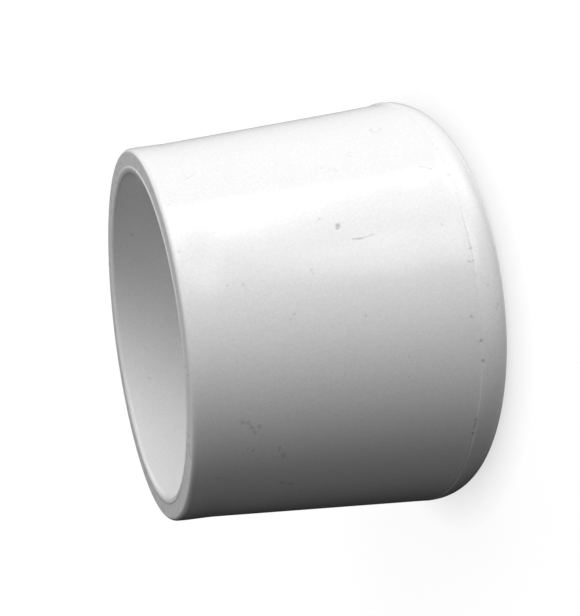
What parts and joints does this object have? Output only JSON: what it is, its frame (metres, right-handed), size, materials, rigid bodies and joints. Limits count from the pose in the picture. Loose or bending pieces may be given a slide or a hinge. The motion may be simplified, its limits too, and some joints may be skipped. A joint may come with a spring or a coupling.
{
  "type": "pipe cap",
  "caption": "White rigid PVC slip cap that closes the end of a nominal 1 inch pipe, with a tapered solvent-cement socket and a closed flat end.",
  "frame": {"origin": "centre of the closed end's flat outer face, on which the cap stands", "axes": "+Z along the socket's axis, out of the open mouth; +X and +Y are any two directions across it, because the cap is round"},
  "size_m": [0.044, 0.044, 0.0314],
  "materials": {
    "white_pvc": "white rigid PVC, satin gloss from a polished mould, with fine handling scuffs"
  },
  "bodies": {
    "root": {"cap_body": "white_pvc"}
  },
  "joints": []
}
